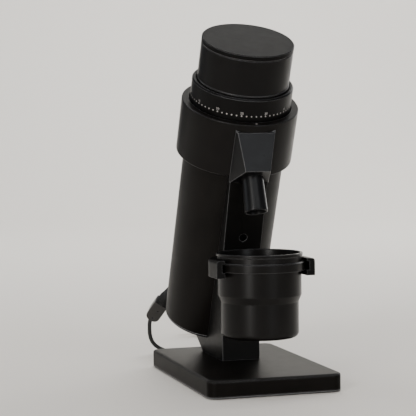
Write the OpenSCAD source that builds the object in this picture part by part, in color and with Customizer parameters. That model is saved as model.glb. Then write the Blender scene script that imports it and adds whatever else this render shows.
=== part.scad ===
// Single-dose burr coffee grinder: a tilted round body on a blade-shaped stand,
// with a stepless dial, a chute and spout at the front, and a dosing cup in a fork.
// Millimetres. +Z is up, +X is right, the front faces -Y, and the origin is on
// the resting surface under the centre of the base.

/* [Base] */
// Width of the base plate
base_w = 120; // [112:1:130]
// Depth of the base plate
base_d = 191.6; // [180:0.2:205]
// Height of the base plate's top face
base_top = 16.1; // [14:0.1:20]
// Radius of the base plate's upright corners
base_corner = 9; // [6:1:14]

/* [Body] */
// Forward lean of the body's axis, in degrees
tilt = 24.2; // [22:0.1:26]
// Where the body's axis meets the resting surface
foot_y = 111.2; // [108:0.1:114]
// Outer radius of the body tube
tube_r = 45.7; // [44.5:0.1:47]
// Wall of the body tube
tube_wall = 2.5; // [2:0.1:3]
// Outer radius of the grinding head
head_r = 52.7; // [51:0.1:54]
// Outer radius of the dial
dial_r = 45.4; // [44.8:0.1:46]
// Outer radius of the hopper and its lid
hopper_r = 41; // [40.5:0.1:41.5]
// Length of the hopper above the carrier
hopper_len = 39.2; // [30:0.2:50]
// Thickness of the lid's disc
lid_t = 4.4; // [4:0.1:8]

/* [Dial] */
// Number of positions round the dial
dial_dots = 65; // [50:1:72]
// Radius of one printed dot
dot_r = 0.62; // [0.4:0.01:0.8]

// How far the nearest dot stands past the front, in degrees
dial_set = 0.6; // [0:0.1:5.5]

/* [Burrs] */
// Radius of both burrs
burr_r = 32; // [30:0.5:32.5]
// Number of cutting grooves in each burr
burr_teeth = 16; // [8:1:24]
// Gap between the burrs
burr_gap = 0.7; // [0.6:0.05:1]

/* [Stand] */
// Width of the stand's blade
stand_w = 35; // [32:0.5:37]
// Y of the stand's upright front face
stand_y = 2.5; // [0:0.5:6]
// Height at which the front face starts to lean forward
knee_z = 102; // [98:1:104]

/* [Cup] */
// Distance from the origin forward to the cup's axis
cup_reach = 50.8; // [49:0.2:52]
// Height of the cup's rim
rim_z = 118.5; // [116:0.5:120]
// Height of the cup's underside
cup_z = 45; // [42:0.5:48]
// Radius of the cup's flange, which the fork holds
flange_r = 39.2; // [38.6:0.1:39.3]

/* [Cord] */
// Diameter of the cord
cord_d = 4; // [3.5:0.5:6]
// Middle radius of the coil's turns
coil_r = 28.5; // [26:0.5:30]

/* [Hidden] */
$fn = 96;

BLACK = [0.035, 0.034, 0.033];
SOFT_BLACK = [0.06, 0.06, 0.062];
STEEL = [0.62, 0.63, 0.65];
BRASS = [0.78, 0.62, 0.3];
COPPER = [0.72, 0.4, 0.22];
BOARD_GREEN = [0.05, 0.28, 0.14];
OFF_WHITE = [0.85, 0.84, 0.8];

base_gap = 1;         // base plate's underside above the surface
tube_in = tube_r - tube_wall;

// Stations along the body's axis, measured from the resting surface
s_bottom = 51.8;      // underside of the bottom cover
s_tube = 54.8;        // lower end of the body tube
s_bell = 126;         // underside of the motor
s_plate = 211.5;      // underside of the motor plate
s_spigot = 217.5;     // lower end of the head's spigot
s_head = 223.5;       // head's lower face
s_floor = 239.5;      // floor of the grinding chamber
s_ledge = 258;        // ledge that carries the spring
s_groove = 270;       // bottom of the groove that the dial turns in
s_top = 273.9;        // head's upper face
s_boss = 284;         // top of the boss inside the dial
s_dots = 279;         // row of dots on the dial
s_dial = 294.4;       // dial's upper face
s_seat = 288.8;       // carrier's upper face, where the hopper stands
s_rim = s_seat + hopper_len;
s_lid = s_rim + 0.6;  // underside of the lid's disc
s_bead = 295.6;       // bead round the foot of the hopper

chamber_r = 35.2;
print_t = 0.12;         // thickness of the printed marks
boss_in = 37.5;
boss_out = 41.5;
carrier_r = 37.2;
throat_r = 32.5;          // wide end of the funnel above the burrs
shaft_r = 5;
bearing_r = 11;
burr_t = 7;
burr_bore = 17;
s_lower = 247;                              // underside of the lower burr
s_upper = s_lower + burr_t + burr_gap;      // underside of the upper burr

cup_y = -cup_reach;
flange_z = [103.4, 110.6];
fork_z = [98.5, 113.5];
fork_r = 44.5;
fork_front = -69.3;

// ---- helpers ----

// Places children in the body's own frame: z runs up the axis, y towards the back.
module on_axis() {
    translate([0, foot_y, 0])
        rotate([tilt, 0, 0])
            children();
}

// World [y, z] of a point q behind the axis at station s.
function side(q, s) = [
    foot_y - s * sin(tilt) + q * cos(tilt),
    s * cos(tilt) + q * sin(tilt)
];

module ring(r_out, r_in, z0, z1) {
    translate([0, 0, z0])
        difference() {
            cylinder(r = r_out, h = z1 - z0);
            translate([0, 0, -1])
                cylinder(r = r_in, h = z1 - z0 + 2);
        }
}

module turned(profile) {
    rotate_extrude()
        polygon(profile);
}

// Copies children n times round the z axis.
module round_about(n, start = 0) {
    for (i = [0 : n - 1])
        rotate([0, 0, start + i * 360 / n])
            children();
}

// A round stretch: n + 1 points of radius r about c, from angle a to angle b.
function arc(c, r, a, b, n = 5) = [
    for (i = [0 : n])
        c + r * [cos(a + (b - a) * i / n), sin(a + (b - a) * i / n)]
];

// A side outline in [y, z], w wide across X.
module blade(outline, w) {
    translate([-w / 2, 0, 0])
        rotate([90, 0, 90])
            linear_extrude(w)
                polygon(outline);
}

// A block with rounded upright corners.
module rounded_slab(w, d, r, z0, z1) {
    translate([0, 0, z0])
        linear_extrude(z1 - z0)
            union() {
                square([w - 2 * r, d], center = true);
                square([w, d - 2 * r], center = true);
                for (x = [-1, 1], y = [-1, 1])
                    translate([x * (w / 2 - r), y * (d / 2 - r)])
                        circle(r);
            }
}

// Socket-head screw along +z: head below the origin, shank above it.
module socket_screw(r, length, head_r, head_h) {
    difference() {
        turned([
            [0, -head_h], [head_r, -head_h], [head_r, 0], [r, 0], [r, length], [0, length]
        ]);
        translate([0, 0, -head_h - 1])
            cylinder(r = head_r * 0.5, h = head_h * 0.6 + 1, $fn = 6);
    }
}

// ---- base and stand ----

stand_bolts = [14, 38, 58];     // Y of the bolts from the base into the stand
edge_round = 2;
pad_inset = 4;

// A block with rounded upright corners and a rounded upper edge.
module soft_slab(w, d, r, z0, z1, soft) {
    function section(half) = concat(
        [[-half, z0], [half, z0]],
        arc([half - soft, z1 - soft], soft, 0, 90, 6),
        arc([soft - half, z1 - soft], soft, 90, 180, 6)
    );
    translate([0, d / 2 - r, 0])
        rotate([90, 0, 0])
            linear_extrude(d - 2 * r)
                polygon(section(w / 2));
    blade(section(d / 2), w - 2 * r);
    for (x = [-1, 1], y = [-1, 1])
        translate([x * (w / 2 - r), y * (d / 2 - r), 0])
            turned(concat(
                [[0, z0], [r, z0]],
                arc([r - soft, z1 - soft], soft, 0, 90, 6),
                [[0, z1]]
            ));
}

module base_plate() {
    color(BLACK)
        difference() {
            soft_slab(base_w, base_d, base_corner, base_gap, base_top, edge_round);
            for (y = stand_bolts)
                translate([0, y, 0]) {
                    cylinder(r = 2.7, h = base_top + 1);
                    cylinder(r = 5, h = 7);
                }
        }
}

module base_pad() {
    color(SOFT_BLACK)
        rounded_slab(
            base_w - 2 * pad_inset, base_d - 2 * pad_inset,
            base_corner - pad_inset, 0, base_gap
        );
}

module base_screws() {
    color(STEEL)
        for (y = stand_bolts)
            translate([0, y, 7])
                socket_screw(2.45, 17, 4.6, 4);
}

lean = 0.3384;                  // forward travel of the blade's front per mm of height
head_face = side(-49.2, s_head);
tail = [[66, base_top], [84, 26.5], [104, 38]];
stand_screw_z = [128, 72];      // heights of the screws on the blade's front face
stand_screw_sink = 3.3;         // depth of the screw heads' undersides
stand_clear = 0.05;

module stand_outline() {
    blade([
        [stand_y, base_top],
        tail[0], tail[1], tail[2],
        side(20, s_bottom),
        side(-tube_r + 8, s_bottom),
        side(-tube_r + 8, s_head),
        head_face,
        [stand_y, knee_z]
    ], stand_w);
}

module stand() {
    color(BLACK)
        difference() {
            stand_outline();
            on_axis()
                translate([0, 0, s_bottom])
                    cylinder(r = tube_r + stand_clear, h = s_head);
            for (y = stand_bolts)
                translate([0, y, base_top - 1])
                    cylinder(r = 2.5, h = 9.5);
            for (z = stand_screw_z)
                at_front_face(z) {
                    translate([0, 0, -4])
                        cylinder(r = 3.6, h = 4 + stand_screw_sink);
                    cylinder(r = 2.1, h = 40);
                }
            fork_screw_places()
                cylinder(r = 1.6, h = 14);
        }
}

function front_y(z) = stand_y - lean * max(z - knee_z, 0);
function from_foot(y, z) = [y - foot_y, z];
function axis_s(y, z) = from_foot(y, z) * [-sin(tilt), cos(tilt)];
function axis_q(y, z) = from_foot(y, z) * [cos(tilt), sin(tilt)];

// Places children on the blade's front face at height z, with local z square to
// the body's axis and pointing in.
module at_front_face(z) {
    on_axis()
        translate([0, axis_q(front_y(z), z), axis_s(front_y(z), z)])
            rotate([-90, 0, 0])
                children();
}

module stand_screws() {
    color(STEEL)
        for (z = stand_screw_z)
            at_front_face(z)
                translate([0, 0, stand_screw_sink])
                    socket_screw(
                        1.9, -tube_in + 1.5 - axis_q(front_y(z), z) - stand_screw_sink,
                        3.4, 2.6
                    );
}

// ---- body tube, bottom cover, drive ----

button_s = 112;
button_r = 8;
inlet_turn = 20;        // round the body from the back towards -X
inlet_s = 60.5;

module at_inlet() {
    on_axis()
        translate([0, 0, inlet_s])
            rotate([0, 0, inlet_turn])
                rotate([-90, 0, 0])
                    children();
}

module at_button() {
    on_axis()
        translate([0, 0, button_s])
            rotate([0, 90, 0])
                children();
}

module body_tube() {
    color(BLACK)
        difference() {
            on_axis()
                turned([
                    [tube_in, s_tube], [tube_r, s_tube], [tube_r, s_head], [tube_in, s_head]
                ]);
            at_inlet()
                translate([0, 0, tube_in - 4])
                    cylinder(r = 5.1, h = 12);
            at_button()
                translate([0, 0, tube_in - 4])
                    cylinder(r = button_r + 1.1, h = 12);
            for (z = stand_screw_z)
                at_front_face(z)
                    cylinder(r = 2.1, h = 32);
        }
}

module bottom_cover() {
    color(BLACK)
        difference() {
            on_axis()
                turned(concat(
                    [[0, s_bottom]],
                    arc([tube_r - 2.4, s_bottom + 2.4], 2.4, -90, 0, 5),
                    [
                        [tube_r, s_tube], [tube_in - 0.1, s_tube], [tube_in - 0.1, s_tube + 5],
                        [tube_in - 2.1, s_tube + 5], [tube_in - 2.1, s_tube], [0, s_tube]
                    ]
                ));
            cover_screw_places()
                cylinder(r = 1.7, h = 20, center = true);
            at_inlet()
                translate([0, 0, 38])
                    cylinder(r = 5.4, h = 8);
        }
}

cover_screw_r = 35;
module cover_screw_places() {
    on_axis()
        for (a = [30, 150])
            rotate([0, 0, a])
                translate([cover_screw_r, 0, s_bottom])
                    children();
}

module bottom_cover_screws() {
    color(STEEL)
        cover_screw_places()
            socket_screw(1.5, 12, 2.8, 1.8);
}

motor_r = 37;
motor_wall = 2.5;
plate_bore = 12;

module motor_can() {
    color(STEEL)
        on_axis()
            ring(motor_r, motor_r - motor_wall, s_bell + 5, s_plate);
}

module motor_end_bell() {
    color(STEEL)
        on_axis()
            turned([
                [bearing_r, s_bell - 4], [16, s_bell - 4], [16, s_bell], [motor_r, s_bell],
                [motor_r, s_bell + 5], [7, s_bell + 5], [7, s_bell + 3], [bearing_r, s_bell + 3]
            ]);
}

stator_z = [s_bell + 16, s_plate - 14];
module stator() {
    color(COPPER)
        on_axis()
            difference() {
                ring(motor_r - motor_wall, 22.5, stator_z[0], stator_z[1]);
                round_about(9)
                    translate([20, -2, stator_z[0] - 1])
                        cube([9, 4, stator_z[1] - stator_z[0] + 2]);
            }
}

module rotor_core() {
    color(STEEL)
        on_axis()
            ring(21.8, shaft_r, stator_z[0] + 2, stator_z[1] - 2);
}

module motor_shaft() {
    color(STEEL)
        on_axis()
            turned([
                [0, s_bell - 3], [shaft_r - 0.6, s_bell - 3], [shaft_r, s_bell - 2.4],
                [shaft_r, s_lower + 6], [3, s_lower + 6], [3, s_lower + 17], [0, s_lower + 17]
            ]);
}

screw_ring_r = 40.1;
module motor_plate() {
    color(STEEL)
        difference() {
            on_axis()
                ring(tube_in - 0.1, plate_bore, s_plate, s_spigot);
            on_axis()
                plate_screw_places()
                    translate([0, 0, -2])
                        cylinder(r = 1.65, h = 10);
        }
}

module plate_screw_places() {
    round_about(4, 45)
        translate([screw_ring_r, 0, s_plate])
            children();
}

module motor_plate_screws() {
    color(STEEL)
        on_axis()
            plate_screw_places()
                socket_screw(1.5, 14, 2.7, 3);
}

// Deep-groove bearing drawn as one ring with its shield grooves.
module bearing(s0) {
    on_axis()
        turned([
            [shaft_r + 0.03, s0], [7, s0], [7, s0 + 0.4], [9.2, s0 + 0.4], [9.2, s0],
            [bearing_r - 0.02, s0], [bearing_r - 0.02, s0 + 7], [9.2, s0 + 7],
            [9.2, s0 + 6.6], [7, s0 + 6.6], [7, s0 + 7], [shaft_r + 0.03, s0 + 7]
        ]);
}

module lower_bearing() {
    color(STEEL)
        bearing(s_bell - 4);
}

module upper_bearing() {
    color(STEEL)
        bearing(s_spigot + 11);
}

board_s = 84;
module control_board() {
    color(BOARD_GREEN)
        on_axis()
            difference() {
                union() {
                    translate([0, 0, board_s])
                        cylinder(r = 38, h = 1.6);
                    translate([-20, -14, board_s + 1.5])
                        cube([16, 12, 14]);
                    translate([2, -20, board_s + 1.5])
                        cube([18, 10, 9]);
                    for (x = [-18, -4, 10])
                        translate([x, 14, board_s + 1.5])
                            cylinder(r = 5, h = 18);
                }
                board_standoff_places()
                    cylinder(r = 1.6, h = 40, center = true);
            }
}

module board_standoff_places() {
    round_about(3, 90)
        translate([33, 0, board_s])
            children();
}

module board_standoffs() {
    color(BRASS)
        on_axis()
            board_standoff_places()
                difference() {
                    translate([0, 0, s_tube - board_s])
                        cylinder(r = 2.8, h = board_s - s_tube);
                    translate([0, 0, s_tube - board_s - 1])
                        cylinder(r = 1.3, h = 8);
                }
}

// ---- power button and inlet ----

module switch_body() {
    color(SOFT_BLACK)
        at_button() {
            translate([0, 0, 24])
                cylinder(r = button_r, h = 10);
            translate([-3, -5, 18])
                cube([2, 2, 7]);
            translate([-3, 3, 18])
                cube([2, 2, 7]);
            ring(button_r + 0.9, button_r + 0.1 - 1.1, 34, 36);
        }
}

module button_bezel() {
    color(SOFT_BLACK)
        difference() {
            at_button()
                turned([
                    [button_r + 0.3, 36], [button_r + 1, 36], [button_r + 1, 42],
                    [button_r + 2.6, 42], [button_r + 2.6, tube_r + 0.8],
                    [button_r + 2.2, tube_r + 1.2], [button_r + 0.3, tube_r + 1.2]
                ]);
            difference() {
                on_axis()
                    translate([0, 0, button_s - 20])
                        cylinder(r = tube_r + 0.02, h = 40);
                at_button()
                    cylinder(r = button_r + 1.02, h = 60);
            }
        }
}

module power_button() {
    color(SOFT_BLACK)
        at_button()
            turned([
                [0, 39], [button_r, 39], [button_r, tube_r + 1.7],
                [button_r - 0.6, tube_r + 2.3], [5.5, tube_r + 2.3], [5, tube_r + 1.9],
                [0, tube_r + 1.9]
            ]);
}

elbow_q = 54.5;         // distance of the plug's knee and bend from the body's axis
elbow_s = 49.5;         // height of the bend along the body's axis
elbow_turn = 40.7;      // place of the bend round the body from the back towards -X
elbow_lean = 64.1;      // slope of the cable end away from square to the body
elbow_w = 13.7;
elbow_t = 12;
elbow_len = 32.9;
joint_gap = 2;          // from the body to the face where the plug meets the inlet
boot_r = 5.4;
boot_len = 9.1;
knee = [-sin(inlet_turn) * elbow_q, cos(inlet_turn) * elbow_q, inlet_s];
bend = [-sin(elbow_turn) * elbow_q, cos(elbow_turn) * elbow_q, elbow_s];

module power_inlet() {
    color(SOFT_BLACK)
        difference() {
            at_inlet() {
                translate([0, 0, 30])
                    cylinder(r = 5, h = tube_r + joint_gap - 30);
                translate([0, 0, tube_r - 1.2])
                    cylinder(r = 8, h = 2.6);
            }
            at_inlet()
                translate([0, 0, 36])
                    cylinder(r = 2.6, h = 14);
            on_axis()
                translate([0, 0, s_bottom])
                    difference() {
                        cylinder(r = tube_r + 0.02, h = 60);
                        translate([0, 0, -1])
                            cylinder(r = tube_in - 0.2, h = 62);
                        rotate([0, 0, inlet_turn])
                            translate([0, 0, inlet_s - s_bottom])
                                rotate([-90, 0, 0])
                                    cylinder(r = 5.01, h = 60);
                    }
        }
}

// Places children with z along the elbow's cable end, starting at its bend.
module at_elbow() {
    on_axis()
        translate(bend)
            rotate([0, 0, elbow_turn])
                rotate([-90 - elbow_lean, 0, 0])
                    children();
}

// A stub from the inlet to the knee, an arm round the body to the bend, and a ribbed collar.
module plug_boot() {
    arm = bend - knee;
    color(SOFT_BLACK)
        union() {
            at_inlet() {
                translate([0, 0, tube_r + joint_gap])
                    cylinder(r = boot_r, h = elbow_q - tube_r - joint_gap);
                translate([0, 0, 37])
                    cylinder(r = 2.5, h = 14);
            }
            on_axis()
                translate(knee) {
                    sphere(r = boot_r + 0.3);
                    rotate([0, acos(arm[2] / norm(arm)), atan2(arm[1], arm[0])])
                        cylinder(r = boot_r, h = norm(arm));
                }
            at_elbow() {
                sphere(r = boot_r + 0.3);
                cylinder(r = boot_r, h = boot_len);
                for (i = [0 : 2])
                    translate([0, 0, 0.9 + i * 2.9])
                        cylinder(r = boot_r + 0.6, h = 1.5);
            }
        }
}

// The elbow is a flat block with a round end; its cover faces out along local x.
module plug_elbow() {
    color(BLACK)
        at_elbow()
            difference() {
                rotate([0, 0, cover_turn])
                    blade(concat(
                        [[-elbow_w / 2, boot_len], [elbow_w / 2, boot_len]],
                        arc([0, elbow_len - elbow_w / 2], elbow_w / 2, 0, 180, 24)
                    ), elbow_t);
                plug_screw_places()
                    cylinder(r = 1.1, h = 6, center = true);
            }
}

cover_turn = 158;       // which way the elbow's cover faces
plug_screw_at = [[-1.2, 17.8], [-0.7, 28.5]];   // across and along the elbow

module plug_screw_places() {
    rotate([0, 0, cover_turn])
        for (p = plug_screw_at)
            translate([elbow_t / 2, p[0], p[1]])
                rotate([0, 90, 0])
                    children();
}

module plug_screws() {
    color(STEEL)
        at_elbow()
            plug_screw_places()
                translate([0, 0, -2.9])
                    difference() {
                        cylinder(r = 1.05, h = 2.5);
                        translate([-0.2, -2, 1.9])
                            cube([0.4, 4, 1]);
                    }
}

// ---- grinding head ----

window_w = 16;
window_s = [240, 252];
key_w = 4;

module grinding_head() {
    color(BLACK)
        difference() {
            on_axis()
                turned(concat(
                    [
                        [bearing_r, s_spigot], [tube_in - 0.1, s_spigot],
                        [tube_in - 0.1, s_head]
                    ],
                    arc([head_r - 1.2, s_head + 1.2], 1.2, -90, 0, 4),
                    arc([head_r - 1, s_top - 1], 1, 0, 90, 4),
                    [
                        [dial_r + 1, s_top], [dial_r + 1, s_groove], [boss_out, s_groove],
                        [boss_out, 277.7], [boss_out - 1.5, 277.7],
                        [boss_out - 1.5, 279.3], [boss_out, 279.3], [boss_out, s_boss],
                        [boss_in, s_boss], [boss_in, s_ledge], [chamber_r, s_ledge],
                        [chamber_r, s_floor], [9, s_floor], [9, s_spigot + 18],
                        [bearing_r, s_spigot + 18]
                    ]
                ));
            on_axis() {
                translate([-window_w / 2, -head_r - 1, window_s[0]])
                    cube([window_w, head_r - 30, window_s[1] - window_s[0]]);
                translate([-key_w / 2 - 0.2, 36, 261])
                    cube([key_w + 0.4, 3.8, 30]);
                plate_screw_places()
                    cylinder(r = 1.6, h = 16);
            }
        }
}

module shaft_seal() {
    color(SOFT_BLACK)
        on_axis()
            ring(8.98, shaft_r + 0.05, s_spigot + 18.1, s_floor - 0.1);
}

module dial_snap_ring() {
    color(STEEL)
        on_axis()
            difference() {
                ring(42.3, boss_out - 1.3, 277.8, 279.2);
                translate([38, -3, 270])
                    cube([8, 6, 20]);
            }
}

module index_mark() {
    color(OFF_WHITE)
        on_axis()
            translate([0, -49.4, s_top])
                cylinder(r = 1, h = print_t);
}

module wave_spring() {
    color(STEEL)
        on_axis()
            ring(boss_in - 0.15, chamber_r + 0.2, s_ledge, s_ledge + 0.9);
}

// ---- rotating burr set ----

module lower_burr_carrier() {
    color(STEEL)
        on_axis()
            difference() {
                union() {
                    turned([
                        [shaft_r, s_floor + 0.8], [14, s_floor + 0.8], [14, s_lower - 5],
                        [burr_r + 0.6, s_lower - 5], [burr_r + 0.6, s_lower],
                        [burr_bore - 0.2, s_lower], [burr_bore - 0.2, s_lower + 2],
                        [9, s_lower + 2], [9, s_lower + 6], [shaft_r, s_lower + 6]
                    ]);
                    round_about(3, 10)
                        translate([burr_r, -1.5, s_floor + 1])
                            cube([2.4, 3, s_lower - s_floor - 1.2]);
                }
                lower_burr_screw_places()
                    cylinder(r = 1.6, h = 16, center = true);
            }
}

// Ring burr with radial cutting grooves in one face, at the high or the low end.
module burr(z0, z1, groove_z) {
    difference() {
        turned([
            [burr_bore + 0.1, z0], [burr_r, z0], [burr_r, z1], [burr_bore + 0.1, z1]
        ]);
        round_about(burr_teeth)
            translate([burr_bore - 2, -1, groove_z])
                rotate([0, 0, 12])
                    cube([burr_r - burr_bore + 5, 1.8, 2.4]);
        round_about(3, 40)
            translate([24.5, 0, z0 - 1])
                cylinder(r = 1.6, h = z1 - z0 + 2);
    }
}

module lower_burr() {
    color(STEEL)
        on_axis()
            burr(s_lower, s_lower + burr_t, s_lower + burr_t - 1.6);
}

module lower_burr_screw_places() {
    round_about(3, 40)
        translate([24.5, 0, s_lower - 2])
            children();
}

module lower_burr_screws() {
    color(STEEL)
        on_axis()
            lower_burr_screw_places()
                translate([0, 0, 5])
                    mirror([0, 0, 1])
                        socket_screw(1.5, 8, 1.55, 0.8);
}

nut_top = s_lower + 21;
module burr_nut() {
    color(STEEL)
        on_axis()
            union() {
                turned([
                    [3.05, s_lower + 6.05], [9, s_lower + 6.05], [9, s_lower + 9],
                    [6, s_lower + 17], [4, nut_top], [0, nut_top], [0, s_lower + 17.1],
                    [3.05, s_lower + 17.1]
                ]);
                round_about(3)
                    translate([4, -1.2, s_lower + 8])
                        rotate([12, 0, 0])
                            cube([8.5, 2.4, 6]);
            }
}

// ---- upper carrier and upper burr ----

module upper_carrier() {
    color(SOFT_BLACK)
        on_axis()
            difference() {
                turned([
                    [burr_r + 0.05, s_upper + 1.8], [chamber_r - 0.4, s_upper + 1.8],
                    [chamber_r - 0.4, s_ledge + 1.9], [carrier_r, s_ledge + 1.9],
                    [carrier_r, s_seat], [throat_r, s_seat], [burr_bore + 0.5, s_seat - 20],
                    [burr_bore + 0.5, s_upper + burr_t], [burr_r + 0.05, s_upper + burr_t]
                ]);
                translate([-key_w / 2, carrier_r - 2.2, 263])
                    cube([key_w, 6, 10]);
                hopper_screw_places()
                    cylinder(r = 1.05, h = 14, center = true);
                upper_burr_screw_places()
                    translate([0, 0, -1])
                        cylinder(r = 1.6, h = 8);
            }
}

module upper_burr() {
    color(STEEL)
        on_axis()
            burr(s_upper, s_upper + burr_t, s_upper - 0.8);
}

module upper_burr_screw_places() {
    round_about(3, 40)
        translate([24.5, 0, s_upper + burr_t])
            children();
}

module upper_burr_screws() {
    color(STEEL)
        on_axis()
            upper_burr_screw_places()
                translate([0, 0, -4])
                    socket_screw(1.5, 8, 1.55, 0.8);
}

module carrier_key() {
    color(STEEL)
        on_axis()
            translate([-key_w / 2, carrier_r - 2.2, 263])
                cube([key_w, 4.3, 10]);
}

// ---- dial ----

module dial_ring() {
    color(BLACK)
        on_axis()
            turned([
                [boss_out + 0.06, s_groove + 0.8], [dial_r - 0.5, s_groove + 0.8],
                [dial_r, s_groove + 1.3], [dial_r, s_dial - 1.3], [dial_r - 1.3, s_dial],
                [hopper_r + 1.4, s_dial], [hopper_r + 1.4, s_boss + 3.6],
                [carrier_r + 0.4, s_boss + 3.6], [carrier_r + 0.4, s_boss + 0.6],
                [boss_out + 0.06, s_boss + 0.6], [boss_out + 0.06, 279.8],
                [boss_out + 1.2, 279.8], [boss_out + 1.2, 277.2], [boss_out + 0.06, 277.2]
            ]);
}

module dial_dots_print() {
    color(OFF_WHITE)
        on_axis()
            round_about(dial_dots, 270 + dial_set)
                translate([dial_r - 0.004, 0, s_dots])
                    rotate([0, 90, 0])
                        cylinder(r = dot_r, h = print_t);
}

// ---- hopper and lid ----

hopper_in = hopper_r - 2.2;
module hopper() {
    color(BLACK)
        on_axis()
            turned([
                [hopper_in, s_seat], [hopper_r - 0.4, s_seat], [hopper_r, s_seat + 0.4],
                [hopper_r, s_bead - 0.8], [hopper_r + 0.4, s_bead - 0.4],
                [hopper_r + 0.4, s_bead + 0.1], [hopper_r, s_bead + 0.5],
                [hopper_r, s_rim - 0.4], [hopper_r - 0.4, s_rim], [hopper_in, s_rim]
            ]);
}

// Ring inside the foot of the hopper that takes its screws
module hopper_foot() {
    color(BLACK)
        on_axis()
            difference() {
                turned([
                    [throat_r, s_seat], [hopper_in - 0.02, s_seat],
                    [hopper_in - 0.02, s_seat + 5], [throat_r, s_seat + 3]
                ]);
                hopper_screw_places() {
                    translate([0, 0, -1])
                        cylinder(r = 1.2, h = 3.6);
                    translate([0, 0, 2.2])
                        cylinder(r = 2.2, h = 8);
                }
            }
}

module hopper_screw_places() {
    round_about(3, 20)
        translate([35, 0, s_seat])
            children();
}

module hopper_screws() {
    color(STEEL)
        on_axis()
            hopper_screw_places()
                translate([0, 0, 2.2])
                    mirror([0, 0, 1])
                        socket_screw(1, 7, 2, 1.6);
}

module lid() {
    color(BLACK)
        on_axis()
            turned([
                [0, s_rim - 6], [hopper_in - 1, s_rim - 6], [hopper_in - 0.8, s_rim - 4.6],
                [hopper_in - 2, s_rim - 4.6], [hopper_in - 2, s_rim - 2.6],
                [hopper_in - 0.8, s_rim - 2.6], [hopper_in - 0.8, s_rim + 0.3],
                [hopper_r - 1.4, s_rim + 0.3], [hopper_r - 1.4, s_lid], [hopper_r, s_lid],
                [hopper_r, s_lid + lid_t - 0.7], [hopper_r - 0.7, s_lid + lid_t],
                [0, s_lid + lid_t]
            ]);
}

module lid_seal() {
    color(SOFT_BLACK)
        on_axis()
            turned([
                [hopper_in - 1.95, s_rim - 4.55], [hopper_in - 0.7, s_rim - 4.55],
                [hopper_in - 0.35, s_rim - 3.6], [hopper_in - 0.7, s_rim - 2.65],
                [hopper_in - 1.95, s_rim - 2.65]
            ]);
}

// ---- chute and spout ----

chute_top = [-46.5, 221.8];     // [y, z] of the front face's upper edge
chute_low = [-50, 188.3];       // [y, z] of the front face's lower edge
chute_back = [-24, 178.1];      // [y, z] where the sloping underside ends
chute_half = 17;                // half width at the upper edge
flank_turn = 17.6;              // how far the flanks open towards the back
flank_rise = 7.3;               // how far the flanks open towards the top

// Everything on the inner side of the block's left flank.
module flank() {
    translate([-chute_half, chute_top[0], chute_top[1]])
        rotate([0, -flank_rise, flank_turn])
            translate([0, -80, -80])
                cube(160);
}

module chute_solid() {
    intersection() {
        blade([
            chute_top, chute_low, chute_back, side(-45, s_head), side(-45, 262),
            side(-48, 270), [chute_top[0] + 2, chute_top[1] + 0.9]
        ], 60);
        flank();
        mirror([1, 0, 0])
            flank();
    }
}

spout_y = -35;
spout_z = 180;
spout_tilt = 17.5;
spout_len = 28.6;
spout_top = 3;          // top of the spout's full width, inside the block
neck_top = 5;
neck_r = 8.3;
neck_in = 7.1;

module at_spout() {
    translate([0, spout_y, spout_z])
        rotate([-spout_tilt, 0, 0])
            children();
}

module chute_block() {
    color(SOFT_BLACK)
        difference() {
            chute_solid();
            on_axis()
                translate([0, 0, s_head])
                    cylinder(r = head_r + 0.02, h = 60);
            blade([
                [front_y(150) - stand_clear, 150], head_face - [stand_clear, 0],
                side(-30, s_head), [30, 150]
            ], 60);
            blade([
                side(-40, 241), side(-40, 252), side(-head_r, 252),
                chute_top + [2.2, -14], chute_low + [2.8, 3.5], [-41, 187.6], [-28, 183.4]
            ], window_w - 1);
            at_spout() {
                translate([0, 0, -20])
                    cylinder(r = 9.5, h = 20 + spout_top);
                cylinder(r = neck_r + 0.05, h = neck_top);
                cylinder(r = neck_in, h = neck_top + 4);
            }
        }
}

module chute_flap() {
    color([0.5, 0.12, 0.1])
        on_axis()
            for (x = [-7, -3.2, 0.6, 4.4])
                translate([x, -47.5, 246.5])
                    cube([2.6, 0.8, window_s[1] - 246.5]);
}

module spout() {
    color(SOFT_BLACK)
        at_spout()
            turned([
                [neck_in, neck_top], [neck_r, neck_top], [neck_r, spout_top],
                [9.45, spout_top], [9.5, -1], [10.3, -spout_len + 0.4],
                [9.9, -spout_len], [8.8, -spout_len], [neck_in, -3]
            ]);
}

// ---- fork and cup ----

fork_in = 37.2;
groove_r = flange_r + 0.4;
function fork_section() = concat(
    [[fork_r, fork_z[0]]],
    arc([fork_r - 2.5, fork_z[1] - 2.5], 2.5, 0, 90, 4),
    [
        [fork_in, fork_z[1]], [fork_in, flange_z[1] + 0.35],
        [groove_r, flange_z[1] + 0.35], [groove_r, flange_z[0] - 0.35],
        [fork_in, flange_z[0] - 0.35], [fork_in, fork_z[0]]
    ]
);
neck_w = 30;
fork_screw_x = 9;
fork_screw_z = 106;

module fork_holder() {
    color(SOFT_BLACK)
        difference() {
            union() {
                intersection() {
                    translate([0, cup_y, 0])
                        turned(fork_section());
                    translate([-60, cup_y, 90])
                        cube([120, 80, 40]);
                }
                for (m = [0, 1])
                    mirror([m, 0, 0])
                        translate([0, cup_y, 0])
                            rotate([90, 0, 0])
                                linear_extrude(cup_y - fork_front)
                                    polygon(fork_section());
                blade([
                    [cup_y + groove_r + 1.5, fork_z[0]], [stand_y, fork_z[0]],
                    [stand_y, knee_z], [stand_y - lean * (fork_z[1] - knee_z), fork_z[1]],
                    [cup_y + groove_r + 1.5, fork_z[1]]
                ], neck_w);
            }
            translate([0, cup_y, flange_z[0] - 0.35])
                cylinder(r = groove_r, h = flange_z[1] - flange_z[0] + 0.7);
            fork_screw_places() {
                cylinder(r = 1.7, h = 14);
                translate([0, 0, -12])
                    cylinder(r = 2.9, h = 12);
            }
        }
}

module fork_screw_places() {
    for (x = [-fork_screw_x, fork_screw_x])
        translate([x, stand_y - 6, fork_screw_z])
            rotate([-90, 0, 0])
                children();
}

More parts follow.
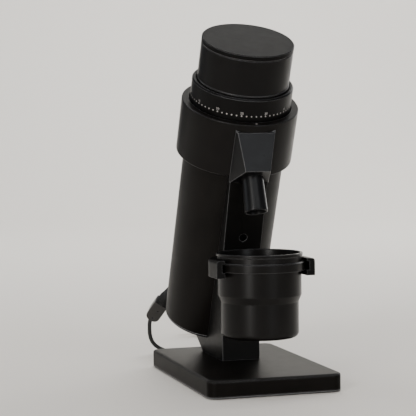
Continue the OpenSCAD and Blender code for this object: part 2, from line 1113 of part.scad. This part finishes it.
module fork_screws() {
    color(STEEL)
        fork_screw_places()
            socket_screw(1.5, 12, 2.7, 2.6);
}

module dosing_cup() {
    color(SOFT_BLACK)
        translate([0, cup_y, 0])
            turned(concat(
                [[0, cup_z + 0.8], [25, cup_z + 0.8], [25.8, cup_z]],
                arc([34 - 4.5, cup_z + 4.5], 4.5, -90, 0, 6),
                [
                    [34, 76], [36.5, 82], [36.5, flange_z[0]],
                    [flange_r, flange_z[0]], [flange_r, flange_z[1] - 0.6],
                    [flange_r - 0.6, flange_z[1]], [36.7, flange_z[1]],
                    [36.7, rim_z - 3.2], [37.6, rim_z - 2.6], [37.6, rim_z - 0.5],
                    [37.1, rim_z], [35.8, rim_z], [35.3, rim_z - 0.6], [34.7, 110],
                    [34.7, 83], [32.2, 76.8]
                ],
                arc([32.2 - 6, cup_z + 9], 6, 0, -90, 6),
                [[0, cup_z + 3]]
            ));
}

// ---- cord, coil and mains plug ----

coil_at = [75, 252];

// Route of the cord from the elbow down to the surface and along it to the coil
ROUTE = [
    [-44.9, 150.65, 39.6], [-45.9, 153.3, 36.2], [-46, 155.5, 31.9], [-45.6, 157.3, 27.1],
    [-45, 158.9, 22.2], [-43.8, 160.4, 17.4], [-41.7, 161.5, 13], [-38.5, 161.8, 9.2],
    [-34.3, 161.2, 6.1], [-29.4, 160.1, 3.8], [-24, 158.7, 2.5], [-18, 157.2, 2],
    [-10, 156.2, 2], [-1.2, 156.5, 2], [8, 158.6, 2],
    [17, 163.6, 2], [24.6, 170.8, 2], [31, 179.2, 2], [37.4, 187.8, 2],
    [44.8, 195.8, 2], [53.2, 203, 2], [62.6, 209, 2], [68, 212, 2], [73.8, 213.8, 2]
];

function unit(v) = v / norm(v);
function heading(p, i) = unit(p[min(i + 1, len(p) - 1)] - p[max(i - 1, 0)]);
function square_to(v, t) = unit(v - (v * t) * t);
function side_ways(p, i) =
    i == 0
        ? square_to([1, 0, 0], heading(p, 0))
        : square_to(side_ways(p, i - 1), heading(p, i));

module swept(p, r, sides) {
    rings = [
        for (i = [0 : len(p) - 1])
            let (t = heading(p, i), a = side_ways(p, i), b = cross(t, a))
                for (k = [0 : sides - 1])
                    p[i] + r * (cos(k * 360 / sides) * a + sin(k * 360 / sides) * b)
    ];
    last = (len(p) - 1) * sides;
    walls = [
        for (i = [0 : len(p) - 2], k = [0 : sides - 1])
            let (n = (k + 1) % sides)
                [i * sides + k, (i + 1) * sides + k, (i + 1) * sides + n, i * sides + n]
    ];
    ends = [
        [for (k = [0 : sides - 1]) k],
        [for (k = [sides - 1 : -1 : 0]) last + k]
    ];
    polyhedron(points = rings, faces = concat(walls, ends), convexity = 4);
}

module cord() {
    color(SOFT_BLACK)
        swept(ROUTE, cord_d / 2, 10);
}

coil_h = 8.3;
module cord_coil() {
    color(SOFT_BLACK)
        translate([coil_at[0], coil_at[1], 0])
            turned([
                [coil_r - 5.5, 0], [coil_r + 5.5, 0], [coil_r + 7.5, 2], [coil_r + 5.5, 6.6],
                [coil_r + 3, coil_h], [coil_r - 3, coil_h], [coil_r - 5.5, 6.6],
                [coil_r - 7.5, 2]
            ]);
}

// Two-pin mains plug lying on the coil, its pins towards -X
plug_front = 19;        // length of the plug's head
plug_back = 22;         // length of the plug's tapered strain relief
pin_len = 19;
pin_in = 3;             // length of the pins inside the plug
pin_r = 2;
pin_y = 9.5;
module at_plug() {
    translate([58.5, coil_at[1] + coil_r, coil_h + 6.82])
        children();
}

module mains_plug() {
    color(SOFT_BLACK)
        at_plug()
            difference() {
                union() {
                    rotate([0, -90, 0])
                        linear_extrude(plug_front)
                            union() {
                                square([13.6, 22], center = true);
                                for (y = [-11, 11])
                                    translate([0, y])
                                        circle(6.8);
                            }
                    rotate([0, 90, 0])
                        turned([
                            [0, -1], [6.8, -1], [6.8, 3], [5, 9], [3, plug_back],
                            [0, plug_back]
                        ]);
                }
                for (y = [-pin_y, pin_y])
                    translate([-plug_front - 1, y, 0])
                        rotate([0, 90, 0])
                            cylinder(r = pin_r + 0.02, h = pin_in + 1);
            }
}

module mains_pins() {
    color(STEEL)
        at_plug()
            for (y = [-pin_y, pin_y])
                translate([-plug_front - pin_len, y, 0])
                    rotate([0, 90, 0])
                        union() {
                            sphere(r = pin_r);
                            cylinder(r = pin_r, h = pin_len + pin_in);
                        }
}

base_plate();
base_pad();
base_screws();
stand();
stand_screws();
body_tube();
bottom_cover();
bottom_cover_screws();
motor_can();
motor_end_bell();
stator();
rotor_core();
motor_shaft();
motor_plate();
motor_plate_screws();
lower_bearing();
upper_bearing();
control_board();
board_standoffs();
switch_body();
button_bezel();
power_button();
power_inlet();
grinding_head();
shaft_seal();
dial_snap_ring();
index_mark();
wave_spring();
lower_burr_carrier();
lower_burr();
burr_nut();
lower_burr_screws();
upper_carrier();
upper_burr();
upper_burr_screws();
carrier_key();
dial_ring();
dial_dots_print();
hopper();
hopper_foot();
hopper_screws();
lid();
lid_seal();
chute_block();
chute_flap();
spout();
fork_holder();
fork_screws();
dosing_cup();
plug_elbow();
plug_boot();
plug_screws();
cord();
cord_coil();
mains_plug();
mains_pins();
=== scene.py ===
"""Looks of the burr coffee grinder: materials, printed numerals, cord, camera and light."""

import math

import bpy
from mathutils import Matrix, Vector


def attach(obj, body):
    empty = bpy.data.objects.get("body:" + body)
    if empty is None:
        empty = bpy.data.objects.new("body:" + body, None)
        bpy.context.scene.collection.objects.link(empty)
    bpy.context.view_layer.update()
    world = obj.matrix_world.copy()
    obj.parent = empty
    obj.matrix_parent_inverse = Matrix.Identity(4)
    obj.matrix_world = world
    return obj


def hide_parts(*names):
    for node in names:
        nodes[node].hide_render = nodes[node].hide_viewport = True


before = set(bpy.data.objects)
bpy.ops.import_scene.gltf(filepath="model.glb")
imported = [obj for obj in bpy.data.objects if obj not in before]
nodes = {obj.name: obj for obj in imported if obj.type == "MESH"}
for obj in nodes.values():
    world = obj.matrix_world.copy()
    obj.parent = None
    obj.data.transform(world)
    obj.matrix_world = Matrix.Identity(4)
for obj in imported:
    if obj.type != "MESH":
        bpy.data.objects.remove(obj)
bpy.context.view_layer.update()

MM = 0.001
TILT = math.radians(24.2)           # of the body, backwards from upright
AXIS = Vector((0, -math.sin(TILT), math.cos(TILT)))
BACK = Vector((0, math.cos(TILT), math.sin(TILT)))
RIGHT = Vector((1, 0, 0))
FOOT = Vector((0, 111.2, 0)) * MM

scene = bpy.context.scene


# ---- small helpers ----


def on_axis(station, angle, radius):
    """A point round the body's axis, in metres: angle 0 faces the front, positive to the right."""
    out = math.sin(angle) * RIGHT - math.cos(angle) * BACK
    return FOOT + station * MM * AXIS + radius * MM * out


def smooth_mesh(name, verts, faces):
    mesh = bpy.data.meshes.new(name)
    mesh.from_pydata(verts, [], faces)
    mesh.update()
    for poly in mesh.polygons:
        poly.use_smooth = True
    obj = bpy.data.objects.new(name, mesh)
    scene.collection.objects.link(obj)
    return obj


# ---- materials ----

LOW, HIGH = 0.3, 0.7               # the part of a noise's range that is used
COAT_DEPTH = 0.00012               # of the fine bumps in a coating, in metres
METAL_DEPTH = 0.0002
RUBBER_DEPTH = 0.0001
FLAT, SHARP = 0.985, 0.8           # cosines where the edge mask (painted edge highlight, lower roughness) starts and is full
BEVEL_RAYS = 6


def blank(name):
    mat = bpy.data.materials.new(name)
    mat.use_nodes = True
    tree = mat.node_tree
    tree.nodes.clear()
    out = tree.nodes.new("ShaderNodeOutputMaterial")
    shader = tree.nodes.new("ShaderNodeBsdfPrincipled")
    tree.links.new(shader.outputs["BSDF"], out.inputs["Surface"])
    coords = tree.nodes.new("ShaderNodeTexCoord")
    return mat, tree, shader, coords


def noise(tree, coords, scale, detail, rough, stretch=None):
    source = coords.outputs["Object"]
    if stretch:
        mapping = tree.nodes.new("ShaderNodeMapping")
        mapping.inputs["Scale"].default_value = stretch
        tree.links.new(source, mapping.inputs["Vector"])
        source = mapping.outputs["Vector"]
    node = tree.nodes.new("ShaderNodeTexNoise")
    node.inputs["Scale"].default_value = scale
    node.inputs["Detail"].default_value = detail
    node.inputs["Roughness"].default_value = rough
    tree.links.new(source, node.inputs["Vector"])
    return node.outputs["Fac"]


def ramp(tree, value, low, high, a, b):
    node = tree.nodes.new("ShaderNodeMapRange")
    node.inputs["From Min"].default_value = low
    node.inputs["From Max"].default_value = high
    node.inputs["To Min"].default_value = a
    node.inputs["To Max"].default_value = b
    tree.links.new(value, node.inputs["Value"])
    return node.outputs["Result"]


def mixed(tree, fac, a, b, kind="RGBA"):
    """From a to b by fac. a and b are sockets, colours or, with kind FLOAT, numbers."""
    node = tree.nodes.new("ShaderNodeMix")
    node.data_type = kind
    tree.links.new(fac, node.inputs["Factor"])
    first, second = [s for s in node.inputs if s.enabled and s.name in ("A", "B")]
    for socket, value in ((first, a), (second, b)):
        if isinstance(value, bpy.types.NodeSocket):
            tree.links.new(value, socket)
        elif kind == "RGBA":
            socket.default_value = (*value, 1)
        else:
            socket.default_value = value
    return next(s for s in node.outputs if s.enabled)


def bumps(tree, shader, layers, base=None):
    """layers: (value, strength, distance) tuples, chained into the shader's normal."""
    previous = base
    for value, strength, distance in layers:
        bump = tree.nodes.new("ShaderNodeBump")
        bump.inputs["Strength"].default_value = strength
        bump.inputs["Distance"].default_value = distance
        tree.links.new(value, bump.inputs["Height"])
        if previous:
            tree.links.new(previous, bump.inputs["Normal"])
        previous = bump.outputs["Normal"]
    tree.links.new(previous, shader.inputs["Normal"])


def edges(tree, radius):
    """A mask that is 1 along sharp edges, and the normal rounded over them."""
    bevel = tree.nodes.new("ShaderNodeBevel")
    bevel.samples = BEVEL_RAYS
    bevel.inputs["Radius"].default_value = radius
    geometry = tree.nodes.new("ShaderNodeNewGeometry")
    dot = tree.nodes.new("ShaderNodeVectorMath")
    dot.operation = "DOT_PRODUCT"
    tree.links.new(bevel.outputs["Normal"], dot.inputs[0])
    tree.links.new(geometry.outputs["Normal"], dot.inputs[1])
    return ramp(tree, dot.outputs["Value"], FLAT, SHARP, 0, 1), bevel.outputs["Normal"]


def coat(name, colour, rough, peel=0.12, spread=0.03, specular=0.13, edge_highlight=0.12, round_by=0.0008):
    """Painted, moulded or coated: fine grain, uneven gloss and, with an edge value, a painted
    highlight: sharp edges coloured lighter and made glossier.
    """
    mat, tree, shader, coords = blank(name)
    fine = noise(tree, coords, scale=1400, detail=3, rough=0.6)
    broad = noise(tree, coords, scale=28, detail=4, rough=0.6)
    smudge = noise(tree, coords, scale=90, detail=5, rough=0.7)
    darker = tuple(c * 0.82 for c in colour)
    lighter = tuple(c * 1.2 + 0.0005 for c in colour)
    shade = mixed(tree, ramp(tree, broad, LOW, HIGH, 0, 1), darker, lighter)
    gloss = ramp(tree, smudge, LOW, HIGH, rough - spread, rough + spread)
    rounded = None
    if edge_highlight:
        mask, rounded = edges(tree, round_by)
        # painted highlight: sharp edges get the lighter edge colour, standing in for the light they
        # catch
        shade = mixed(tree, mask, shade, (edge_highlight, edge_highlight, edge_highlight * 1.02))
        gloss = mixed(tree, mask, gloss, rough * 0.7, "FLOAT")
    tree.links.new(shade, shader.inputs["Base Color"])
    tree.links.new(gloss, shader.inputs["Roughness"])
    shader.inputs["Specular IOR Level"].default_value = specular
    bumps(tree, shader, [(fine, peel, COAT_DEPTH)], rounded)
    return mat


def metal(name, colour, rough, stretch=(1, 1, 40)):
    """Bare metal with lines drawn out by stretch and patches of uneven gloss."""
    mat, tree, shader, coords = blank(name)
    lines = noise(tree, coords, scale=60, detail=3, rough=0.6, stretch=stretch)
    patch = noise(tree, coords, scale=120, detail=4, rough=0.6)
    shader.inputs["Metallic"].default_value = 1.0
    dark = tuple(c * 0.85 for c in colour)
    shade = mixed(tree, ramp(tree, lines, LOW, HIGH, 0, 1), dark, colour)
    tree.links.new(shade, shader.inputs["Base Color"])
    gloss = ramp(tree, patch, LOW, HIGH, rough - 0.06, rough + 0.08)
    tree.links.new(gloss, shader.inputs["Roughness"])
    bumps(tree, shader, [(lines, 0.08, METAL_DEPTH)])
    return mat


def rubber(name, colour, rough=0.72):
    """Matte rubber with a fine grain and some dust."""
    mat, tree, shader, coords = blank(name)
    fine = noise(tree, coords, scale=1800, detail=3, rough=0.6)
    dust = noise(tree, coords, scale=150, detail=5, rough=0.7)
    dusty = tuple(c * 1.5 + 0.006 for c in colour)
    shade = mixed(tree, ramp(tree, dust, 0.45, 0.8, 0, 0.6), colour, dusty)
    tree.links.new(shade, shader.inputs["Base Color"])
    shader.inputs["Roughness"].default_value = rough
    shader.inputs["Specular IOR Level"].default_value = 0.4
    bumps(tree, shader, [(fine, 0.25, RUBBER_DEPTH)])
    return mat


# Name, colour, roughness, then what differs from coat's, metal's and rubber's usual values; an edge
# value is the colour of the painted highlight along sharp edges
BODY = coat("body_coat", (0.0056, 0.0047, 0.004), 0.37, specular=0.1)
HEAD = coat("head_coat", (0.005, 0.0043, 0.0039), 0.32, specular=0.12, edge_highlight=0.38, round_by=0.0007)
DIAL = coat(
    "dial_coat", (0.0036, 0.0034, 0.0033), 0.31, spread=0.01, specular=0.105, edge_highlight=0.3,
    round_by=0.0006,
)
HOPPER = coat("hopper_coat", (0.005, 0.0047, 0.0046), 0.31, specular=0.12, edge_highlight=0.2)
LID = coat(
    "lid_coat", (0.004, 0.0038, 0.0036), 0.44, peel=0.15, specular=0.07, edge_highlight=0.3, round_by=0.0006,
)
COVER = coat("cover_coat", (0.005, 0.0047, 0.0044), 0.25, specular=0.35, edge_highlight=0.3, round_by=0.0016)
BASE = coat(
    "base_coat", (0.005, 0.0042, 0.0035), 0.38, peel=0.1, spread=0.012, specular=0.05, edge_highlight=0.3,
    round_by=0.003,
)
STAND = coat("stand_coat", (0.0042, 0.0039, 0.0036), 0.38, specular=0.13, edge_highlight=0.2)
CHUTE = coat(
    "chute_satin", (0.0052, 0.0052, 0.0056), 0.3, peel=0.06, specular=0.14, edge_highlight=0.25,
    round_by=0.001,
)
SPOUT = coat("spout_gloss", (0.005, 0.005, 0.0054), 0.33, peel=0.05, specular=0.22)
FORK = coat("fork_satin", (0.0042, 0.0039, 0.0037), 0.4, specular=0.07)
CUP = coat("cup_coat", (0.0042, 0.0037, 0.0034), 0.29, peel=0.1, spread=0.015, specular=0.17)
ELBOW = coat("elbow_satin", (0.016, 0.014, 0.013), 0.34, specular=0.4)
MOULDED = coat("moulded_black", (0.012, 0.012, 0.012), 0.45, edge_highlight=0.05)
RUBBER = rubber("black_rubber", (0.008, 0.008, 0.008))
FLEX = rubber("cord_rubber", (0.01, 0.01, 0.01), 0.55)
PRINT = coat("white_print", (0.42, 0.395, 0.38), 0.6, peel=0.05, edge_highlight=0)
STEEL = metal("turned_steel", (0.55, 0.56, 0.58), 0.3)
ZINC = metal("zinc_plate", (0.45, 0.46, 0.48), 0.4)
BLACK_STEEL = metal("black_oxide", (0.02, 0.02, 0.021), 0.42)
CAST = metal("cast_alloy", (0.5, 0.51, 0.52), 0.48, (1, 1, 1))
COPPER = metal("copper_wire", (0.6, 0.28, 0.13), 0.35, (30, 30, 1))
BRASS = metal("brass", (0.7, 0.5, 0.22), 0.3)
BOARD = coat("board_green", (0.01, 0.07, 0.03), 0.4, edge_highlight=0)

FINISHES = {
    BODY: ("body_tube",),
    COVER: ("bottom_cover",),
    HEAD: ("grinding_head",),
    DIAL: ("dial_ring",),
    HOPPER: ("hopper", "hopper_foot"),
    LID: ("lid",),
    BASE: ("base_plate",),
    STAND: ("stand",),
    CHUTE: ("chute_block",),
    SPOUT: ("spout",),
    FORK: ("fork_holder",),
    CUP: ("dosing_cup",),
    ELBOW: ("plug_elbow",),
    MOULDED: (
        "upper_carrier", "button_bezel", "power_button", "power_inlet", "switch_body", "mains_plug",
    ),
    RUBBER: ("base_pad", "plug_boot", "lid_seal", "shaft_seal", "chute_flap"),
    PRINT: ("dial_dots_print", "index_mark"),
    STEEL: (
        "motor_shaft", "lower_burr", "upper_burr", "lower_burr_carrier", "burr_nut", "carrier_key",
        "wave_spring", "upper_bearing", "lower_bearing", "base_screws", "dial_snap_ring",
    ),
    ZINC: (
        "motor_can", "rotor_core", "motor_plate_screws", "lower_burr_screws", "upper_burr_screws",
        "hopper_screws", "fork_screws",
    ),
    BLACK_STEEL: ("stand_screws", "bottom_cover_screws", "plug_screws"),
    CAST: ("motor_end_bell", "motor_plate"),
    COPPER: ("stator",),
    BRASS: ("board_standoffs", "mains_pins"),
    BOARD: ("control_board",),
}
for mat, names in FINISHES.items():
    for name in names:
        data = nodes[name].data
        data.materials.clear()
        data.materials.append(mat)


# ---- softened edges on the CAD nodes ----

SHARP_ANGLE = math.radians(40)     # edges sharper than this are softened
WELD = 0.000002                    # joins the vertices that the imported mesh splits, in metres
SOFT_EDGES = {                     # width of the softened edge, in mm
    "stand": 0.7, "fork_holder": 0.5, "plug_elbow": 0.5, "button_bezel": 0.3,
    "power_inlet": 0.4, "spout": 0.25, "mains_plug": 0.9,
}
for name, width in SOFT_EDGES.items():
    obj = nodes[name]
    weld = obj.modifiers.new("weld", "WELD")
    weld.merge_threshold = WELD
    bevel = obj.modifiers.new("soft_edges", "BEVEL")
    bevel.width = width * MM
    bevel.segments = 3
    bevel.limit_method = "ANGLE"
    bevel.angle_limit = SHARP_ANGLE


# ---- numerals on the dial ----

DIAL_R = 45.4
DOTS = 65
LABEL_STEP = 5
PITCH = 2 * math.pi / DOTS
FRONT_LABEL, FRONT_ANGLE = 25, math.radians(-16)   # one numeral's place when the dial is at rest
FIRST_ANGLE = FRONT_ANGLE - FRONT_LABEL * PITCH
NUMERAL_BASE = 280.5               # station of the numerals' lower edge along the body's axis
NUMERAL_SIZE = 3.1
NUMERAL_LIFT = 0.06                # off the dial's face


def numeral(value, angle):
    """One printed number, bent round the dial's face."""
    curve = bpy.data.curves.new(f"numeral_{value}", "FONT")
    curve.body = str(value)
    curve.size = NUMERAL_SIZE * MM
    curve.align_x = "CENTER"
    curve.resolution_u = 4
    flat = bpy.data.objects.new(f"flat_{value}", curve)
    scene.collection.objects.link(flat)
    bpy.context.view_layer.update()
    mesh = bpy.data.meshes.new_from_object(flat)
    bpy.data.objects.remove(flat)
    for vert in mesh.vertices:
        x, y = vert.co.x / MM, vert.co.y / MM
        vert.co = on_axis(NUMERAL_BASE + y, angle + x / DIAL_R, DIAL_R + NUMERAL_LIFT)
    mesh.name = f"numeral_{value}"
    obj = bpy.data.objects.new(f"numeral_{value}", mesh)
    scene.collection.objects.link(obj)
    mesh.materials.clear()
    mesh.materials.append(PRINT)
    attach(obj, "dial")


for i in range(DOTS // LABEL_STEP):
    numeral(i * LABEL_STEP, FIRST_ANGLE + i * LABEL_STEP * PITCH)


# ---- the cord, one curve from the elbow to the plug ----

CORD_D = 4
ROUTE = [                          # from the elbow's end down to the floor and to the coil
    (-44.9, 150.65, 39.6), (-45.9, 153.3, 36.2), (-46, 155.5, 31.9), (-45.6, 157.3, 27.1),
    (-45, 158.9, 22.2), (-43.8, 160.4, 17.4), (-41.7, 161.5, 13), (-38.5, 161.8, 9.2),
    (-34.3, 161.2, 6.1), (-29.4, 160.1, 3.8), (-24, 158.7, 2.5), (-18, 157.2, 2),
    (-10, 156.2, 2), (-1.2, 156.5, 2), (8, 158.6, 2), (17, 163.6, 2), (24.6, 170.8, 2),
    (31, 179.2, 2), (37.4, 187.8, 2), (44.8, 195.8, 2), (53.2, 203, 2), (62.6, 209, 2),
    (68, 212, 2),
]
COIL = Vector((75, 252, 0))
COIL_START = 37                    # radius where the cord enters the coil
ENTRY_ANGLE = -90
LAYER = 4.25                       # from one turn to the next, and from one layer to the next
LOWER_SWEEP, CLIMB_SWEEP, UPPER_SWEEP = 1080, 150, 660
FIRST_TURN_GROWTH, NEXT_TURN_GROWTH = 6.8, 5.6     # of the upper layer's radius
TAIL_BEND = 28.5
TAIL_STEPS = 8
TAIL_Z = 15.1                      # height of the plug's strain relief


def coil_points():
    """Three turns winding in on the floor, a climb, then nearly two turns winding out on top."""
    floor_z = CORD_D / 2
    points = []
    for turn in range(0, LOWER_SWEEP + 1, 12):
        points.append((ENTRY_ANGLE + turn, COIL_START - LAYER * turn / 360, floor_z))
    inner = COIL_START - LAYER * LOWER_SWEEP / 360
    climb_from = ENTRY_ANGLE + LOWER_SWEEP
    for step in range(15, CLIMB_SWEEP + 1, 15):
        rise = LAYER * step / CLIMB_SWEEP
        points.append((climb_from + step, inner - LAYER * step / 360, floor_z + rise))
    inner -= LAYER * CLIMB_SWEEP / 360
    upper_from = climb_from + CLIMB_SWEEP
    for step in range(12, UPPER_SWEEP + 1, 12):
        grow = (
            FIRST_TURN_GROWTH * min(step, 360) / 360
            + NEXT_TURN_GROWTH * max(step - 360, 0) / 360
        )
        points.append((upper_from + step, inner + grow, floor_z + LAYER))
    out = []
    for angle, radius, z in points:
        a = math.radians(angle)
        out.append((COIL.x + radius * math.cos(a), COIL.y + radius * math.sin(a), z))
    return out


def tail_points(last):
    """From the coil's top turn round a quarter circle up into the plug's strain relief."""
    centre = (last[0] - TAIL_BEND, last[1])
    out = []
    for step in range(1, TAIL_STEPS + 1):
        t = step / TAIL_STEPS
        a = math.radians(90 * t)
        rise = t * t * (3 - 2 * t)
        out.append((
            centre[0] + TAIL_BEND * math.cos(a), centre[1] + TAIL_BEND * math.sin(a),
            last[2] + (TAIL_Z - last[2]) * rise,
        ))
    return out


coil = coil_points()
line = ROUTE + coil + tail_points(coil[-1])
curve = bpy.data.curves.new("cord_line", "CURVE")
curve.dimensions = "3D"
curve.bevel_depth = CORD_D / 2 * MM
curve.bevel_resolution = 5
curve.use_fill_caps = True
spline = curve.splines.new("POLY")
spline.points.add(len(line) - 1)
for point, place in zip(spline.points, line):
    point.co = (*(Vector(place) * MM), 1)
spline.use_smooth = True
flex = bpy.data.objects.new("flex_cord", curve)
scene.collection.objects.link(flex)
curve.materials.append(FLEX)
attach(flex, "frame")
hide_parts("cord", "cord_coil")


# ---- floor, camera and light ----

VIEW_TURN = math.radians(16.8)
FLOOR_HALF = 12
SHEET_HALF = 1.3                   # half the backdrop sheet's width
SHEET_START = 2.2                  # where the sheet leaves the floor
SHEET_BEND = 0.9
SHEET_TOP = 3.2
SHEET_STEPS = 12


def sweep():
    """A wide pale floor with a narrower sheet curving up behind it, turned square to the camera."""
    profile = [(SHEET_START, 0)]
    for step in range(1, SHEET_STEPS + 1):
        a = math.radians(90 * step / SHEET_STEPS)
        profile.append((
            SHEET_START + SHEET_BEND * math.sin(a), SHEET_BEND - SHEET_BEND * math.cos(a),
        ))
    profile.append((SHEET_START + SHEET_BEND, SHEET_TOP))
    verts, faces = [], []

    def add(side, y, z):
        x = side * math.cos(VIEW_TURN) + y * math.sin(VIEW_TURN)
        verts.append((x, y * math.cos(VIEW_TURN) - side * math.sin(VIEW_TURN), z))

    for side in (-SHEET_HALF, SHEET_HALF):
        for y, z in profile:
            add(side, y, z)
    n = len(profile)
    for i in range(n - 1):
        faces.append((i, i + n, i + n + 1, i + 1))
    for side, y in ((-1, -1), (1, -1), (1, 1), (-1, 1)):
        add(side * FLOOR_HALF, y * FLOOR_HALF, 0)
    faces.append(tuple(range(2 * n, 2 * n + 4)))
    return smooth_mesh("floor", verts, faces)


floor = sweep()
floor_mat, _, floor_shader, _ = blank("floor_pale")
floor_shader.inputs["Base Color"].default_value = (0.8, 0.755, 0.695, 1)
floor_shader.inputs["Roughness"].default_value = 0.7
floor.data.materials.append(floor_mat)

CAMERA_AT = (-0.4074, -1.2454, 0.2264)
CAMERA_TURN, CAMERA_DIP, CAMERA_ROLL = 16.825, 3.134, -0.583

camera_data = bpy.data.cameras.new("camera")
camera_data.sensor_width = 36
camera_data.lens = 126.07
camera_data.clip_start = 0.01
camera_data.clip_end = 50
camera = bpy.data.objects.new("camera", camera_data)
scene.collection.objects.link(camera)
scene.camera = camera
turn, dip, roll = (math.radians(a) for a in (CAMERA_TURN, CAMERA_DIP, CAMERA_ROLL))
forward = Vector((math.cos(dip) * math.sin(turn), math.cos(dip) * math.cos(turn), -math.sin(dip)))
level = Vector((math.cos(turn), -math.sin(turn), 0))
up = level.cross(forward)
right = math.cos(roll) * level + math.sin(roll) * up
top = -math.sin(roll) * level + math.cos(roll) * up
camera.matrix_world = Matrix((
    (right.x, top.x, -forward.x, CAMERA_AT[0]),
    (right.y, top.y, -forward.y, CAMERA_AT[1]),
    (right.z, top.z, -forward.z, CAMERA_AT[2]),
    (0, 0, 0, 1),
))


def softbox(name, place, aim, size, power, colour):
    """A rectangular lamp of that size in metres and power in watts, turned to the point aim."""
    data = bpy.data.lights.new(name, "AREA")
    data.shape = "RECTANGLE"
    data.size, data.size_y = size
    data.energy = power
    data.color = colour
    light = bpy.data.objects.new(name, data)
    scene.collection.objects.link(light)
    light.location = place
    look = Vector(aim) - Vector(place)
    light.rotation_mode = "QUATERNION"
    light.rotation_quaternion = look.to_track_quat("-Z", "Y")


softbox("window_left", (-2.4, 1.3, 1.3), (0, 0, 0.2), (1.2, 1.8), 9, (0.88, 0.94, 1.0))
softbox("window_right", (2.0, 1.5, 1.0), (0, 0, 0.2), (1.0, 1.8), 16.5, (1.0, 0.99, 0.97))
softbox("front_right", (0.75, -2.4, 0.6), (0, 0, 0.18), (0.8, 0.9), 10, (0.93, 0.96, 1.0))
softbox("front_left", (-1.5, -1.45, 0.62), (0, 0, 0.5), (0.5, 1.25), 23, (1.0, 0.98, 0.95))
softbox("overhead", (-0.3, -1.5, 1.55), (0, 0, 0.2), (2.2, 0.5), 12, (0.97, 0.98, 1.0))
softbox("top", (0.0, 0.3, 2.2), (0, 0, 0.2), (1.4, 1.4), 20, (1.0, 0.99, 0.97))
softbox("backdrop_wash", (0.6, 1.0, 2.6), (1.0, 3.2, 1.2), (2.5, 1.0), 115, (0.95, 0.98, 1.0))

world = bpy.data.worlds.new("studio")
scene.world = world
world.use_nodes = True
background = world.node_tree.nodes["Background"]
background.inputs["Color"].default_value = (0.9, 0.93, 1.0, 1)
background.inputs["Strength"].default_value = 0.12
